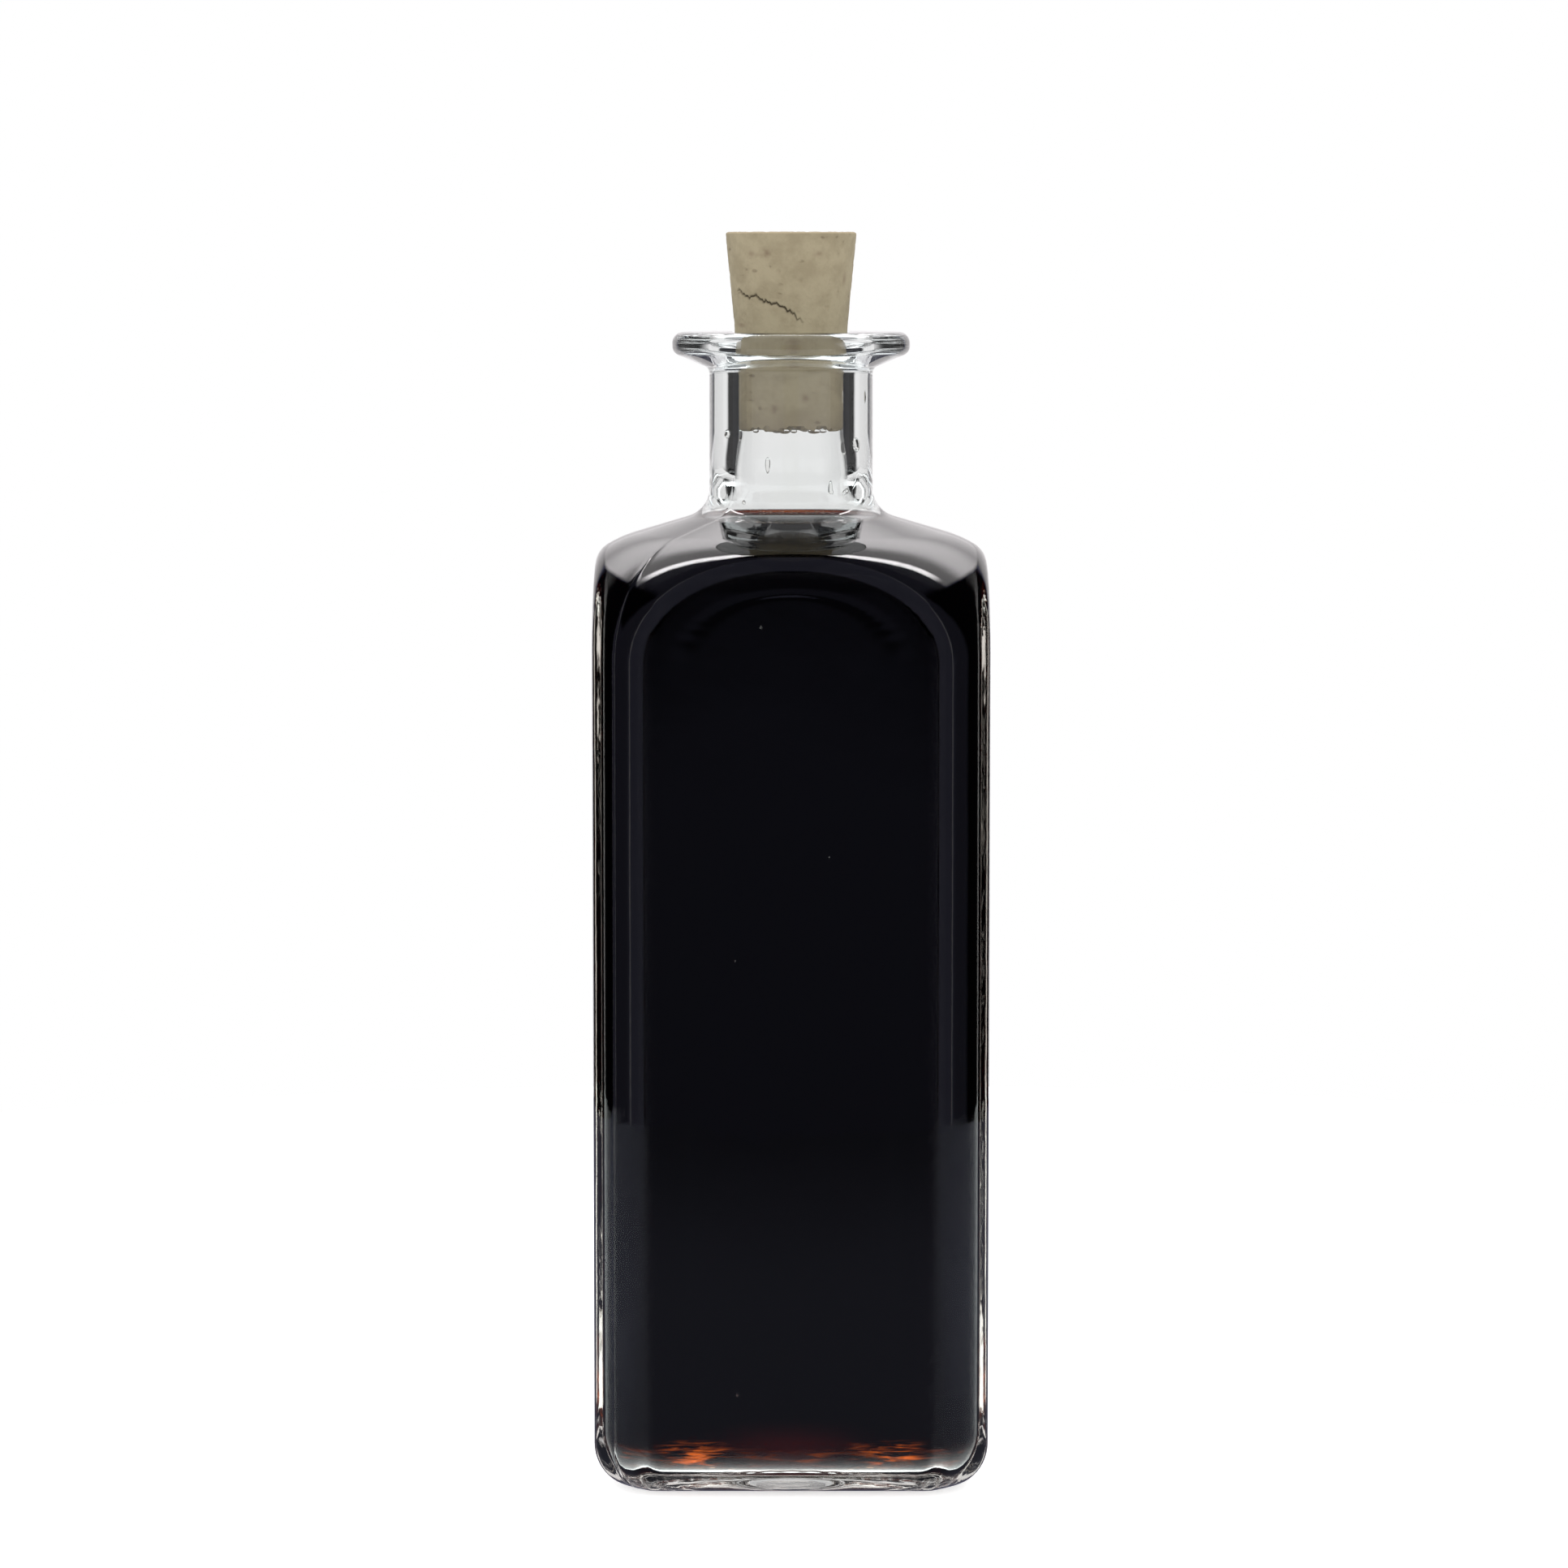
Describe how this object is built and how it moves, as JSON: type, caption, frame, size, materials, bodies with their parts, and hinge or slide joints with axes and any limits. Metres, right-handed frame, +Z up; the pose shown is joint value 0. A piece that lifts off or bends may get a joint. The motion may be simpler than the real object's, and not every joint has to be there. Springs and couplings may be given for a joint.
{
  "type": "apothecary bottle",
  "caption": "Square clear glass bottle with arched flat panels, a ring lip and a tapered cork, filled to just under its neck with a dark red-brown drink.",
  "frame": {"origin": "centre of the base, on the surface the bottle stands on", "axes": "+Z up through the neck; the flat panels face -Y, +X, +Y and -X"},
  "size_m": [0.0664, 0.0664, 0.2115],
  "materials": {
    "clear_glass": "smooth clear colourless glass",
    "dark_drink": "dark red-brown liquid, nearly black in depth",
    "cork": "fine-grained natural cork, matte"
  },
  "bodies": {
    "root": {"bottle_glass": "clear_glass", "drink": "dark_drink", "cork": "cork"}
  },
  "joints": []
}
